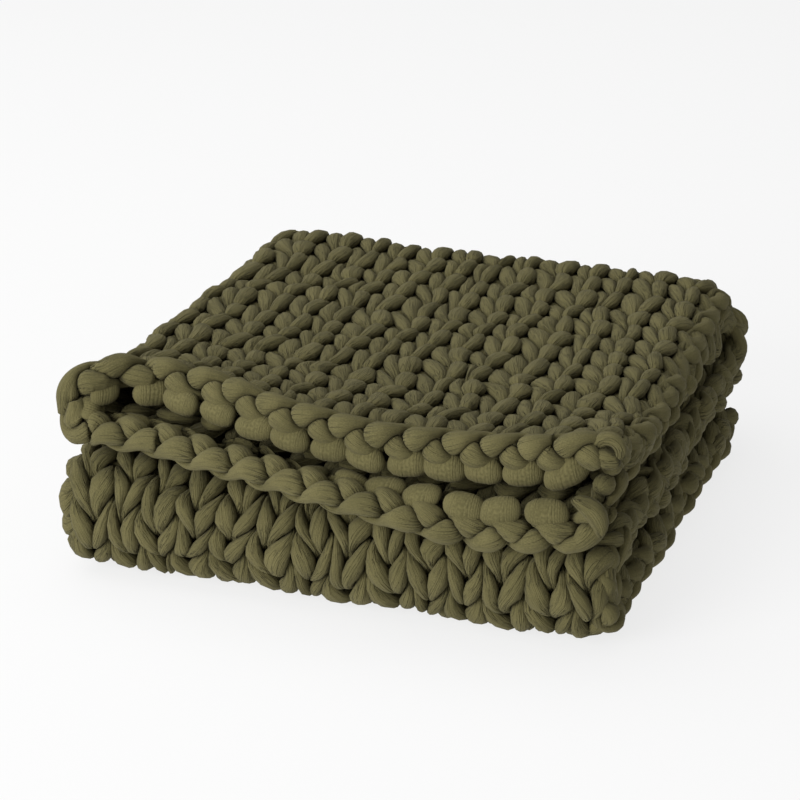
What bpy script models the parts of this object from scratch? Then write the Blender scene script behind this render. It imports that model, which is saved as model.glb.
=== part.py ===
"""Chunky-knit weighted blanket, folded into a stack.

One continuous cloth: doubled across its width with that fold on the left and both side edges on
the right, then laid back and forth twice along its length, which gives six layers. The bound-off
edges lie at the front of the top, the cast-on edges at the back of the bottom.

The cloth is laid out flat as a slab of wales (columns of stitches) and courses (rows), given its
relief, and then folded. Metres, +Z up, origin on the floor under the middle of the stack.
"""
import math

import bmesh
import bpy
import numpy as np

# Driving dimensions, in metres unless named otherwise.
WIDTH = 0.61
DEPTH = 0.642
LAYER = 0.037
WALES = 29
COURSES = 43
FACE_WALES = 13.5
TOP_FRONT_Y = -0.300
BOTTOM_BACK_Y = 0.278
SELVAGE_ROUND = 0.005

# The three lengths of doubled cloth and the two turns that join them.
HALF_LAYER = LAYER / 2
TURN_RADIUS = LAYER
TURN_REACH = 2 * LAYER
BACK_CENTRE_Y = DEPTH / 2 - TURN_REACH
FRONT_CENTRE_Y = -BACK_CENTRE_Y
TOP_RUN = BACK_CENTRE_Y - TOP_FRONT_Y
MIDDLE_RUN = BACK_CENTRE_Y - FRONT_CENTRE_Y
BOTTOM_RUN = BOTTOM_BACK_Y - FRONT_CENTRE_Y
CLOTH_LENGTH = TOP_RUN + MIDDLE_RUN + BOTTOM_RUN + 2 * math.pi * TURN_RADIUS
COURSE = CLOTH_LENGTH / COURSES
FOLD_X = -WIDTH / 2 + LAYER
WALE = (WIDTH / 2 - FOLD_X) / FACE_WALES
TURN_SQUARENESS = 3.0

# Surface of the cloth above and below its middle, knit side positive.
RIDGE = 0.0178
NOTCH = 0.0132
GROOVE = 0.0100
HIDDEN_FACE = 0.0155
PURL_FACE = 0.0150
PURL_FACE_IN_FOLD = 0.0090
UNDER_LAND = HALF_LAYER
UNDER_GROOVE = 0.005
CHEVRON = 0.45
SCALLOP = 0.004
LEG_PLACE = 0.25
NOTCH_REACH = 0.26
CAST_ON_ROUND = 0.16

# The bound-off braid: its half thickness at a link and between two, and the lines that round it.
BRAID_LINK = 0.0190
BRAID_NECK = 0.0135
BRAID_INSIDE = HALF_LAYER - 0.0020
BRAID_LEAN = 0.22
BRAID_LINES = (0.0, 0.28, 0.66, 0.95)
BRAID_ROUNDING = (0.62, 1.0, 0.86, 0.72)
BRAID_END = 2.0
BRAID_LAP = 0.025
BRAID_LAP_AT_LEFT = 0.45
LINK_REACH = 0.3
LINK_ROUND = 0.10
NECK_SET_BACK = 0.06

# How the stack settles: shares of the height, and the droop of the loose front edge in metres.
DISH = 0.04
FRONT_SAG = 0.055
BACK_RIDGE = 0.020
EDGE_DROOP = 0.009
DROOP_PUSH = 1.7
DROOP_LENGTH = 0.075
TOP_SKEW = 0.020
LEFT_SKEW = 0.012
CORNER_LIFT = 0.009
DROOP_AT_SIDES = 0.3
DROOP_POWER = 1.5
SIDE_POWER = 2.5

# Where each of these starts and how far it takes to build up, in half depths from the middle.
SAG_START = 0.2
SAG_SPAN = 0.6
RIDGE_START = 0.35
RIDGE_SPAN = 0.5
SKEW_START = -0.6
SKEW_SPAN = 1.5

# Moves the stack so that the braids' overhang leaves the origin under the middle.
Y_CENTRING = 0.0123

# The lines of the flat slab. Past a turn the relief goes on a little way before it is left out.
LINES_PER_WALE = 4
LINES_PER_COURSE = 2
COARSE_STEP = 4
FIRST_KNIT_LINE = 1.5
PAST_TURN = 0.6
TURN_ROOM = 0.3
NEAR = 0.01

OLIVE = (0.147, 0.130, 0.064, 1.0)
NAME = "folded_knit"


def clear_scene():
    """Remove every object that the file holds."""
    for item in list(bpy.data.objects):
        bpy.data.objects.remove(item, do_unlink=True)


def smooth_step(value):
    """Ease from 0 to 1 over the same range."""
    value = np.clip(value, 0.0, 1.0)
    return value * value * (3 - 2 * value)


def across_cloth(wale):
    """Place across the folded width, offset from the doubled cloth's middle, and facing angle."""
    share = np.clip((wale - FACE_WALES) / (WALES - 2 * FACE_WALES), 0.0, 1.0)
    facing = math.pi / 2 + math.pi * share
    from_edge = np.minimum(wale, WALES - wale)
    x = np.where(from_edge < FACE_WALES, WIDTH / 2 - from_edge * WALE, FOLD_X)
    return x + HALF_LAYER * np.cos(facing), HALF_LAYER * np.sin(facing), facing


def squared(angle):
    """Radius factor that turns a half circle into a slightly squarer turn."""
    power = TURN_SQUARENESS
    return (np.abs(np.sin(angle)) ** power + np.abs(np.cos(angle)) ** power) ** (-1 / power)


def along_cloth(length, offset, lift):
    """Y and Z of a point this far along the cloth, in a layer at this offset, raised by lift."""
    back_turn = math.pi * (TURN_RADIUS + offset)
    front_turn = math.pi * (TURN_RADIUS - offset)
    rise = offset + lift
    ends = np.cumsum(
        [np.full_like(length, TOP_RUN), back_turn, np.full_like(length, MIDDLE_RUN), front_turn],
        axis=0,
    )
    back_angle = (length - ends[0]) / (TURN_RADIUS + offset)
    front_angle = (length - ends[2]) / (TURN_RADIUS - offset)
    back_radius = (TURN_RADIUS + rise) * squared(back_angle)
    front_radius = (TURN_RADIUS - rise) * squared(front_angle)
    runs = [length < end for end in ends]
    y = np.select(
        runs,
        [
            TOP_FRONT_Y + length,
            BACK_CENTRE_Y + back_radius * np.sin(back_angle),
            BACK_CENTRE_Y - (length - ends[1]),
            FRONT_CENTRE_Y - front_radius * np.sin(front_angle),
        ],
        FRONT_CENTRE_Y + (length - ends[3]),
    )
    z = np.select(
        runs,
        [
            5 * LAYER + rise,
            4 * LAYER + back_radius * np.cos(back_angle),
            3 * LAYER - rise,
            2 * LAYER + front_radius * np.cos(front_angle),
        ],
        LAYER + rise,
    )
    return y, z


def fold(wale, course, lift):
    """Fold flat-cloth points (wale, course, lift) into the stack and let it settle."""
    x, offset, facing = across_cloth(wale)
    length = course * COURSE
    start = np.clip(1 - length / DROOP_LENGTH, 0.0, 1.0)
    y, z = along_cloth(length, offset, lift * np.sin(facing))
    x = x + lift * np.cos(facing)
    return settle(x, y, z, offset, start)


def settle(x, y, z, offset, start):
    """Dish the top, raise its back, sag its front, and skew the top run a little."""
    side = np.clip(np.abs(x) / (WIDTH / 2), 0.0, 1.0)
    along = np.clip(y / (DEPTH / 2), -1.0, 1.0)
    belly = 1 - side**SIDE_POWER
    squeeze = (
        1
        - DISH * belly * (1 - along**2)
        - FRONT_SAG * belly * smooth_step((-along - SAG_START) / SAG_SPAN)
        + BACK_RIDGE * smooth_step((along - RIDGE_START) / RIDGE_SPAN)
    )
    top_share = smooth_step((z - 4 * LAYER) / LAYER)
    rightward = smooth_step((x / (WIDTH / 2) + 1) / 2)
    skew = TOP_SKEW * rightward - LEFT_SKEW * (1 - rightward)
    skew = skew * smooth_step((along - SKEW_START) / SKEW_SPAN)
    lower_layer = (HALF_LAYER - offset) / LAYER
    droop = EDGE_DROOP * (DROOP_AT_SIDES + belly) - CORNER_LIFT * (1 - belly) * (x < 0)
    droop = droop * start**DROOP_POWER
    z = z * squeeze - droop
    at_left = BRAID_LAP_AT_LEFT + (1 - BRAID_LAP_AT_LEFT) * belly
    lap = BRAID_LAP * lower_layer * np.where(x < 0, at_left, 1.0)
    y = y + Y_CENTRING - lap * start**2 - DROOP_PUSH * np.maximum(droop, 0.0)
    return x - skew * top_share, y, z


def wale_lines():
    """Positions of the lines along the cloth, in wales."""
    return np.linspace(0, WALES, WALES * LINES_PER_WALE + 1)


def course_lines():
    """Positions of the lines across the cloth, in courses: the braid's own, then an even run."""
    count = int((COURSES - FIRST_KNIT_LINE) * LINES_PER_COURSE) + 1
    rest = np.linspace(FIRST_KNIT_LINE, COURSES, count)
    return np.concatenate([BRAID_LINES, rest])


def flat_slab():
    """A slab over the lines' indices: x is the wale line, y the course line, z is 1, 0 or -1."""
    columns = len(wale_lines()) - 1
    rows = len(course_lines()) - 1
    bm = bmesh.new()
    bmesh.ops.create_grid(bm, x_segments=columns, y_segments=rows, size=0.5)
    for vert in bm.verts:
        vert.co = (round((vert.co.x + 0.5) * columns), round((vert.co.y + 0.5) * rows), 1)
    extruded = bmesh.ops.extrude_face_region(bm, geom=bm.faces[:])
    for item in extruded["geom"]:
        if isinstance(item, bmesh.types.BMVert):
            item.co.z = -1
    walls = [edge for edge in bm.edges if abs(edge.verts[0].co.z - edge.verts[1].co.z) > 1]
    bmesh.ops.subdivide_edges(bm, edges=walls, cuts=1, use_grid_fill=True)
    bmesh.ops.recalc_face_normals(bm, faces=bm.faces[:])
    return bm


def runs_of(wale):
    """The courses where the back turn ends and the front turn starts in the layer of this wale."""
    offset = np.where(wale < WALES / 2, HALF_LAYER, -HALF_LAYER)
    back_end = (TOP_RUN + math.pi * (TURN_RADIUS + offset)) / COURSE
    front_start = back_end + MIDDLE_RUN / COURSE
    return back_end, front_start, front_start + math.pi * (TURN_RADIUS - offset) / COURSE


def shows(wale, course, level):
    """Whether this place of the cloth shows on the outside of the stack."""
    back_end, front_start, _ = runs_of(np.float64(wale))
    if level < 0:
        return False
    if abs(wale - WALES / 2) <= WALES / 2 - FACE_WALES:
        return True
    if wale < WALES / 2:
        return course < back_end + PAST_TURN
    return course > front_start - PAST_TURN


def keeps_wale_line(index, wale, course, level):
    """Whether a line along the cloth is kept here: everywhere that stitches or ribs are raised."""
    if course <= BRAID_LINES[-1] or shows(wale, course, level):
        return True
    in_fold = abs(wale - WALES / 2) <= WALES / 2 - FACE_WALES
    return in_fold and index % 2 == 0


def keeps_course_line(index, wale, course, level):
    """Whether a line across the cloth is kept here: in the braid, in the turns, on show."""
    back_end, front_start, front_end = (float(value) for value in runs_of(np.float64(wale)))
    turns = TOP_RUN / COURSE - PAST_TURN < course < back_end + PAST_TURN
    turns = turns or front_start - PAST_TURN < course < front_end + PAST_TURN
    if course < BRAID_END or turns or index % COARSE_STEP == 0:
        return True
    under = wale > WALES - FACE_WALES + TURN_ROOM and course > front_end
    return shows(wale, course, level) and not under


def thin_hidden_lines(bm):
    """Merge the slab's faces where they lie flat against the next layer."""
    wales = wale_lines()
    courses = course_lines()
    doomed = []
    for edge in bm.edges:
        first, second = (vert.co for vert in edge.verts)
        level = first.z
        if second.z != level or level == 0:
            continue
        on_rim = first.x == second.x and first.x in (0, len(wales) - 1)
        on_rim = on_rim or (first.y == second.y and first.y in (0, len(courses) - 1))
        if on_rim:
            continue
        middle_wale = (wales[int(first.x)] + wales[int(second.x)]) / 2
        middle_course = (courses[int(first.y)] + courses[int(second.y)]) / 2
        if first.x == second.x:
            kept = keeps_wale_line(int(first.x), middle_wale, middle_course, level)
        else:
            kept = keeps_course_line(int(first.y), middle_wale, middle_course, level)
        if not kept:
            doomed.append(edge)
    bmesh.ops.dissolve_edges(bm, edges=doomed, use_verts=True)
    bmesh.ops.triangulate(bm, faces=[face for face in bm.faces if len(face.verts) > 4])


def stitch_relief(wale, course):
    """Height of the knit side: two ridges a wale, notched once a course."""
    part = wale % 1.0
    on_leg = np.abs(np.abs(part - 0.5) - LEG_PLACE) < NEAR
    notched = np.abs(course % 1.0 - 0.5) < NOTCH_REACH
    return np.where(on_leg, np.where(notched, NOTCH, RIDGE), GROOVE)


def shape_of(bm):
    """Wale, course and lift of each of the slab's points, with its relief, rims and braids."""
    index = np.array([vert.co[:] for vert in bm.verts])
    wale = wale_lines()[index[:, 0].astype(int)]
    course = course_lines()[index[:, 1].astype(int)]
    level = index[:, 2]
    on_show = np.array([shows(*point) for point in zip(wale, course, level)])
    back_end, front_start, front_end = runs_of(wale)
    under = (wale > WALES - FACE_WALES) & (course > front_end + TURN_ROOM)
    relief = stitch_relief(wale, course)
    between_wales = np.abs(wale - np.round(wale)) < NEAR
    land = np.where(between_wales, UNDER_LAND - UNDER_GROOVE, UNDER_LAND)
    outside = np.where(on_show, np.where(under, land, relief), HIDDEN_FACE)
    in_fold = np.abs(wale - WALES / 2) < WALES / 2 - FACE_WALES - NEAR
    inside = np.where(in_fold, PURL_FACE_IN_FOLD, PURL_FACE)
    lift = np.where(level > 0, outside, -inside) * (level != 0)
    chevron = CHEVRON * (0.5 - np.abs(2 * (wale % 1.0) - 1))
    stitched = on_show & (course > BRAID_LINES[-1]) & (course < COURSES - 1) & ~under
    past_upper = (wale < FACE_WALES) & (course > back_end)
    before_lower = (wale > WALES - FACE_WALES) & (course < front_start)
    moved = course + np.where(stitched & ~past_upper & ~before_lower, chevron, 0.0)
    link = np.abs((wale + BRAID_LEAN * level) % 1.0 - 0.5) < LINK_REACH
    fat = np.where(link, BRAID_LINK, BRAID_NECK)
    rounding = np.interp(course, BRAID_LINES, BRAID_ROUNDING)
    braid_lift = np.maximum(level * fat * rounding, -BRAID_INSIDE)
    lift = np.where(course <= BRAID_LINES[-1], braid_lift, lift)
    first_line = course < NEAR
    moved = np.where(first_line & (level != 0), moved + LINK_ROUND, moved)
    moved = np.where(first_line & ~link, moved + NECK_SET_BACK, moved)
    last_line = course > COURSES - NEAR
    moved = np.where(last_line & (level != 0), moved - CAST_ON_ROUND, moved)
    from_edge = np.minimum(wale, WALES - wale)
    scallop = SCALLOP * (np.abs(course % 1.0 - 0.5) < NOTCH_REACH)
    tuck = SELVAGE_ROUND * (level != 0) + scallop
    tuck = np.where(from_edge < NEAR, tuck / WALE, 0.0)
    moved_wale = np.where(wale < WALES / 2, wale + tuck, wale - tuck)
    return moved_wale, moved, lift


def olive_jersey():
    """The matte jersey of the stuffed yarn."""
    material = bpy.data.materials.new("olive_jersey")
    material.use_nodes = True
    shader = material.node_tree.nodes["Principled BSDF"]
    shader.inputs["Base Color"].default_value = OLIVE
    shader.inputs["Roughness"].default_value = 0.92
    shader.inputs["Metallic"].default_value = 0.0
    material.diffuse_color = OLIVE
    return material


def folded_blanket(collection):
    """The whole blanket as one closed solid."""
    bm = flat_slab()
    thin_hidden_lines(bm)
    x, y, z = fold(*shape_of(bm))
    for vert, place in zip(bm.verts, zip(x, y, z)):
        vert.co = place
    # Wales are counted towards -X, so folding mirrors the slab and turns its faces inwards.
    bmesh.ops.reverse_faces(bm, faces=bm.faces[:])
    bmesh.ops.triangulate(bm, faces=bm.faces[:], quad_method="SHORT_EDGE")
    mesh = bpy.data.meshes.new(NAME)
    bm.to_mesh(mesh)
    bm.free()
    mesh.materials.append(olive_jersey())
    blanket = bpy.data.objects.new(NAME, mesh)
    collection.objects.link(blanket)
    return blanket


def main():
    """Build the blanket in its own collection."""
    clear_scene()
    collection = bpy.data.collections.new("weighted_blanket")
    bpy.context.scene.collection.children.link(collection)
    folded_blanket(collection)


main()
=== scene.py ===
"""The yarn, finish and studio of a chunky-knit weighted blanket that lies folded in a stack.

The blanket is knitted from a stuffed jersey tube. Every row of stitches is one tube of yarn that is
laid out flat by a formula, pressed against its neighbours where they touch, and then folded along
the same path as the solid that it stands for. Metres, +Z up.
"""
import logging
import math
from collections.abc import Iterator
from dataclasses import dataclass, replace
from enum import Enum
from functools import cache

import bpy
import numpy as np
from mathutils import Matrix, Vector


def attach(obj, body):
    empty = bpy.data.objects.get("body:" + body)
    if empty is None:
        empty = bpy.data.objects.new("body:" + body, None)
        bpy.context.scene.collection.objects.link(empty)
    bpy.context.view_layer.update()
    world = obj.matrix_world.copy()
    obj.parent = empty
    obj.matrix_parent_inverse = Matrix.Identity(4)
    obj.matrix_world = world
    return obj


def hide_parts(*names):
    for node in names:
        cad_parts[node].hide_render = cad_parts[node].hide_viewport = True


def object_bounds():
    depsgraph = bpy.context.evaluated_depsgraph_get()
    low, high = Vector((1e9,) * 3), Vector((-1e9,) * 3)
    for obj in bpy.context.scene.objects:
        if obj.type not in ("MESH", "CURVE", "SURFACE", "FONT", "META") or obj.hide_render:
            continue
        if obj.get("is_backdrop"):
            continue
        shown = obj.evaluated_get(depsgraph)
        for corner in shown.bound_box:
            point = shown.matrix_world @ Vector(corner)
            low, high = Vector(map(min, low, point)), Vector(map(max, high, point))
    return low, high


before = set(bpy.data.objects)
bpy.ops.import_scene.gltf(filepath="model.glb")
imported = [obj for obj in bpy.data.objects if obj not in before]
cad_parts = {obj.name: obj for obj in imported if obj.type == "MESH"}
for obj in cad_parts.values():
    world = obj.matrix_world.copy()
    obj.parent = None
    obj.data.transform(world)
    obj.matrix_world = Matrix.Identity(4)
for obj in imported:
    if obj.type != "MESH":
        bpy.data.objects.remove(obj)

SOLID_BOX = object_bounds()
LOG = logging.getLogger("knit_blanket")

SOLID = "folded_knit"
BODY = "root"

# The crease attribute: how creased the yarn is, which sets its fold bumps and how strongly painted
# shade darkens its crease lines.
CREASE = "crease"
STRANDS = 3
FULL_TURN = 2 * math.pi
KNIT_SIDE = (0.0, 0.0, 1.0)
FAR = 1.0
TINY = 1e-6

Array = np.ndarray
Values = Array | float
Point = tuple[float, float, float]
Material = bpy.types.Material
Socket = bpy.types.NodeSocket

# A tube of yarn: its points (ring, side, axis) and how creased they are, 0 to 1 (ring, side).
Tube = tuple[Array, Array]


def smooth_step(value: Values) -> Values:
    """Ease from 0 to 1, with the value clipped to 0 and 1 first."""
    value = np.clip(value, 0.0, 1.0)
    return value * value * (3 - 2 * value)


def hump(value: Values, centre: float, reach: float) -> Values:
    """A smooth hump that is 1 at its centre and 0 past its reach."""
    return smooth_step(1 - np.abs(value - centre) / reach)


def unit(vectors: Array) -> Array:
    """Vectors of length 1, along the last axis."""
    return vectors / np.maximum(np.linalg.norm(vectors, axis=-1, keepdims=True), TINY)


def ring_angles(sides: int) -> Array:
    """Angles of the points round a yarn."""
    return np.arange(sides) * FULL_TURN / sides


def around_yarn(tangent: Array, sides: int, hand: float) -> Array:
    """Directions round a yarn at each sample, starting on its purl side.

    Args:
        tangent: Unit vectors along the yarn (sample, axis).
        sides: How many directions.
        hand: 1 or -1, which way round they go.

    Returns:
        Unit vectors (sample, side, axis).
    """
    sideways = unit(np.cross(tangent, KNIT_SIDE))
    outward = np.cross(sideways, tangent)
    angle = ring_angles(sides)[None, :, None]
    return hand * sideways[:, None] * np.sin(angle) - outward[:, None] * np.cos(angle)


def eased(radii: Array) -> Array:
    """Radii averaged a little round the yarn, so that pressed faces turn softly into round ones."""
    return (2 * radii + np.roll(radii, 1, axis=1) + np.roll(radii, -1, axis=1)) / 4


@dataclass(frozen=True)
class Strand:
    """A stretch of round yarn: its middle (sample, axis) and its radius (sample)."""

    middle: Array
    radius: Array

    def room(self, around: Array, other: "Strand", allowed: Array | bool = True) -> Array:
        """How far this yarn reaches before it meets another.

        Two round yarns that overlap share the plane through the circle where they meet.

        Args:
            around: Directions round this yarn (sample, side, axis).
            other: The yarn that may press on it.
            allowed: Which samples of the other may press on which of this one.

        Returns:
            Distances from the middle (sample, side), FAR where nothing presses.
        """
        own = self.radius[:, None]
        theirs = other.radius[None]
        apart = other.middle[None] - self.middle[:, None]
        squared = (apart**2).sum(axis=2)
        near = allowed & (squared < (own + theirs) ** 2)
        facing = np.einsum("ijk,isk->ijs", apart, around)
        plane = squared + own**2 - theirs**2
        reach = plane[:, :, None] / (2 * np.maximum(facing, TINY))
        return np.where(near[:, :, None] & (facing > TINY), reach, FAR).min(axis=1)


@dataclass(frozen=True)
class Squeeze:
    """How a yarn flattens under its neighbours: how squarely, and to what share of its radius."""

    hardness: float
    least_share: float

    def push(self, radius: Array, room: Array) -> Array:
        """How hard a neighbour presses that leaves this much room (sample, side) on each side."""
        own = radius[:, None]
        return (own / np.maximum(room, self.least_share * own)) ** self.hardness

    def radii(self, radius: Array, pushes: Array) -> Array:
        """Radii (sample, side) under all the pushes, before they are eased."""
        return radius[:, None] * pushes ** (-1 / self.hardness)


@dataclass(frozen=True)
class Unevenness:
    """Smooth hand-made irregularity over the cloth: a sum of slow waves in wales and courses."""

    seed: int
    shortest: float = 1.7
    longest: float = 5.0
    waves: int = 28

    def at(self, wale: Values, course: Values) -> Values:
        """Read the unevenness.

        Args:
            wale: Place across the cloth, in wales.
            course: Place along the cloth, in courses.

        Returns:
            Numbers that mostly lie between -1 and 1.
        """
        rng = np.random.default_rng(self.seed)
        heading = rng.uniform(0, FULL_TURN, self.waves)
        length = rng.uniform(self.shortest, self.longest, self.waves)
        phase = rng.uniform(0, FULL_TURN, self.waves)
        total = np.zeros(np.broadcast(wale, course).shape)
        for turn, span, start in zip(heading, length, phase):
            along = wale * math.cos(turn) + course * math.sin(turn)
            total = total + np.sin(FULL_TURN * along / span + start)
        return total / math.sqrt(self.waves)


class EdgeTable(Enum):
    """Measures that change along the bound-off edge. Each entry starts with its wale.

    DRAPE is how far the loose edge lies off the solid's edge, metres back and metres up. ROLL is how
    far its cord is rolled towards the purl side, in degrees. LOOP_SIZE is how thick the loops below
    the cord are, as a share of their full thickness.
    """

    DRAPE = ((0.0, 0.0, 0.034), (1.5, 0.0, 0.023), (6.0, 0.0, 0.023), (8.5, 0.012, 0.028),
             (10.5, 0.038, 0.030), (12.2, 0.045, 0.0265), (13.4, 0.012, 0.024), (14.5, 0.0, 0.013),
             (15.6, 0.010, 0.019), (17.5, 0.020, 0.025), (20.0, 0.010, 0.020), (23.0, -0.006, 0.010),
             (26.0, -0.014, 0.001), (28.0, -0.012, 0.002), (29.0, 0.0, 0.018))
    ROLL = ((0.0, 0.0), (6.0, 0.0), (10.0, 32.0), (13.0, 35.0), (14.5, 0.0), (16.0, -62.0),
            (20.0, -75.0), (23.4, -66.0), (25.4, -12.0), (29.0, 0.0))
    LOOP_SIZE = ((0.0, 1.0), (5.5, 1.0), (9.0, 0.82), (14.0, 0.82), (14.5, 0.88), (29.0, 0.88))

    def at(self, wale: Values) -> list[Values]:
        """Read the columns after the wale at a place along the edge."""
        wales, *columns = zip(*self.value)
        return [np.interp(wale, wales, column) for column in columns]


class CordEdge(Enum):
    """Which edge of the cloth a cord follows."""

    ROW = "row"
    SELVAGE = "selvage"


@dataclass(frozen=True)
class FoldedCloth:
    """The doubled cloth and its back-and-forth folds, with the sizes of the solid.

    Wales count from the right edge of the upper layer, round the left fold. Courses count from the
    bound-off edge. Lift is the height above the cloth's middle, knit side positive.
    """

    width: float = 0.61
    depth: float = 0.642
    layer: float = 0.037
    wales: int = 29
    courses: int = 43
    face_wales: float = 13.5
    top_front_y: float = -0.300
    bottom_back_y: float = 0.278
    turn_squareness: float = 2.5
    y_centring: float = 0.0123
    floor_gap: float = 0.0005

    # How the stack settles: shares of its height, and where each starts, in half depths.
    dish: float = 0.04
    side_power: float = 2.5
    front_sag: float = 0.055
    sag_start: float = 0.2
    sag_span: float = 0.6
    back_ridge: float = 0.020
    ridge_start: float = 0.35
    ridge_span: float = 0.5
    top_skew: float = 0.020
    left_skew: float = 0.012
    skew_start: float = -0.6
    skew_span: float = 1.5
    press: float = 0.925

    # The loose front edge.
    edge_droop: float = 0.009
    droop_at_sides: float = 0.3
    droop_power: float = 1.5
    droop_push: float = 1.7
    droop_length: float = 0.075
    corner_lift: float = 0.009
    braid_lap: float = 0.025
    lap_at_left: float = 0.45
    drape_length: float = 0.20

    # The selvages, which curl, and the front turn, where the courses crowd.
    selvage_curl: float = 0.9
    curl_wales: float = 0.95
    curl_inset: float = 0.5
    front_crowding: float = 0.17
    crowding_middle: float = 28.4
    crowding_reach: float = 9.0

    nudge: float = 0.001

    @property
    def half_layer(self) -> float:
        """Half of one layer's thickness."""
        return self.layer / 2

    @property
    def back_centre_y(self) -> float:
        """Y of the axis that the back turn goes round."""
        return self.depth / 2 - 2 * self.layer

    @property
    def top_run(self) -> float:
        """Length of the top run of cloth."""
        return self.back_centre_y - self.top_front_y

    @property
    def middle_run(self) -> float:
        """Length of the middle run of cloth."""
        return 2 * self.back_centre_y

    @property
    def course(self) -> float:
        """Length of one course."""
        bottom_run = self.bottom_back_y + self.back_centre_y
        turns = FULL_TURN * self.layer
        return (self.top_run + self.middle_run + bottom_run + turns) / self.courses

    @property
    def fold_x(self) -> float:
        """X of the axis that the left fold goes round."""
        return self.layer - self.width / 2

    @property
    def wale(self) -> float:
        """Width of one wale."""
        return (self.width / 2 - self.fold_x) / self.face_wales

    def across(self, wale: Array) -> tuple[Array, Array, Array]:
        """Place a wale across the doubled cloth.

        Args:
            wale: Place across the cloth.

        Returns:
            X, offset from the doubled cloth's middle, and the angle that the knit side faces.
        """
        fold_wales = self.wales - 2 * self.face_wales
        share = np.clip((wale - self.face_wales) / fold_wales, 0.0, 1.0)
        facing = math.pi / 2 + math.pi * share
        from_edge = np.minimum(wale, self.wales - wale)
        flat_x = self.width / 2 - from_edge * self.wale
        x = np.where(from_edge < self.face_wales, flat_x, self.fold_x)
        half = self.half_layer
        return x + half * np.cos(facing), half * np.sin(facing), facing

    def squared(self, angle: Array) -> Array:
        """Radius factor that turns a half circle into a slightly squarer turn."""
        power = self.turn_squareness
        return (np.abs(np.sin(angle)) ** power + np.abs(np.cos(angle)) ** power) ** (-1 / power)

    def along(self, length: Array, offset: Array,
              lift: Array) -> tuple[Array, Array]:
        """Place a point along the back-and-forth folds.

        The doubled cloth is two layers thick, so its middle lies 1, 3 and 5 layers up in the bottom,
        middle and top runs, and the axes of the turns lie 2 and 4 layers up.

        Args:
            length: Metres from the bound-off edge.
            offset: The layer's offset from the doubled cloth's middle.
            lift: Height above the layer's middle, upper side positive.

        Returns:
            Y and Z.
        """
        radius = self.layer
        back_turn = math.pi * (radius + offset)
        front_turn = math.pi * (radius - offset)
        rise = offset + lift
        first = np.full_like(length, self.top_run)
        middle = np.full_like(length, self.middle_run)
        ends = np.cumsum([first, back_turn, middle, front_turn], axis=0)
        back_angle = (length - ends[0]) / (radius + offset)
        front_angle = (length - ends[2]) / (radius - offset)
        back_radius = (radius + rise) * self.squared(back_angle)
        front_radius = (radius - rise) * self.squared(front_angle)
        runs = [length < end for end in ends]
        back = self.back_centre_y
        y_runs = [
            self.top_front_y + length,
            back + back_radius * np.sin(back_angle),
            back - (length - ends[1]),
            -back - front_radius * np.sin(front_angle),
        ]
        z_runs = [
            5 * radius + rise,
            4 * radius + back_radius * np.cos(back_angle),
            3 * radius - rise,
            2 * radius + front_radius * np.cos(front_angle),
        ]
        y = np.select(runs, y_runs, length - ends[3] - back)
        return y, np.select(runs, z_runs, radius + rise)

    def settle(self, x: Array, y: Array, z: Array, offset: Array,
               start: Array) -> Array:
        """Dish the top, raise its back, sag its front and skew the top run, as the solid does.

        Args:
            x: X before settling.
            y: Y before settling.
            z: Z before settling.
            offset: The layer's offset from the doubled cloth's middle.
            start: 1 at the bound-off edge, falling to 0 past the droop.

        Returns:
            Points in the last axis.
        """
        half_width = self.width / 2
        side = np.clip(np.abs(x) / half_width, 0.0, 1.0)
        along = np.clip(y / (self.depth / 2), -1.0, 1.0)
        belly = 1 - side**self.side_power
        sag = smooth_step((-along - self.sag_start) / self.sag_span)
        ridge = smooth_step((along - self.ridge_start) / self.ridge_span)
        squeeze = 1 - self.dish * belly * (1 - along**2)
        squeeze = squeeze - self.front_sag * belly * sag + self.back_ridge * ridge
        top_share = smooth_step((z - 4 * self.layer) / self.layer)
        rightward = smooth_step((x / half_width + 1) / 2)
        skew = self.top_skew * rightward - self.left_skew * (1 - rightward)
        skew = skew * smooth_step((along - self.skew_start) / self.skew_span)
        lower_layer = (self.half_layer - offset) / self.layer
        corner = self.corner_lift * (1 - belly) * (x < 0)
        droop = self.edge_droop * (self.droop_at_sides + belly) - corner
        droop = droop * start**self.droop_power
        at_left = self.lap_at_left + (1 - self.lap_at_left) * belly
        lap = self.braid_lap * lower_layer * np.where(x < 0, at_left, 1.0)
        y = y + self.y_centring - lap * start**2 - self.droop_push * np.maximum(droop, 0.0)
        return np.stack([x - skew * top_share, y, z * squeeze - droop], axis=-1)

    def crowded(self, course: Array) -> Array:
        """Crowd the courses on the front turn, whose outer side would spread them.

        Args:
            course: Place along the cloth.

        Returns:
            The same, drawn towards the middle of the front turn.
        """
        share = np.clip((course - self.crowding_middle) / self.crowding_reach, -1.0, 1.0)
        most = self.front_crowding * self.crowding_reach / math.pi
        return course - most * np.sin(math.pi * share) * (1 - share**2)

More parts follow.
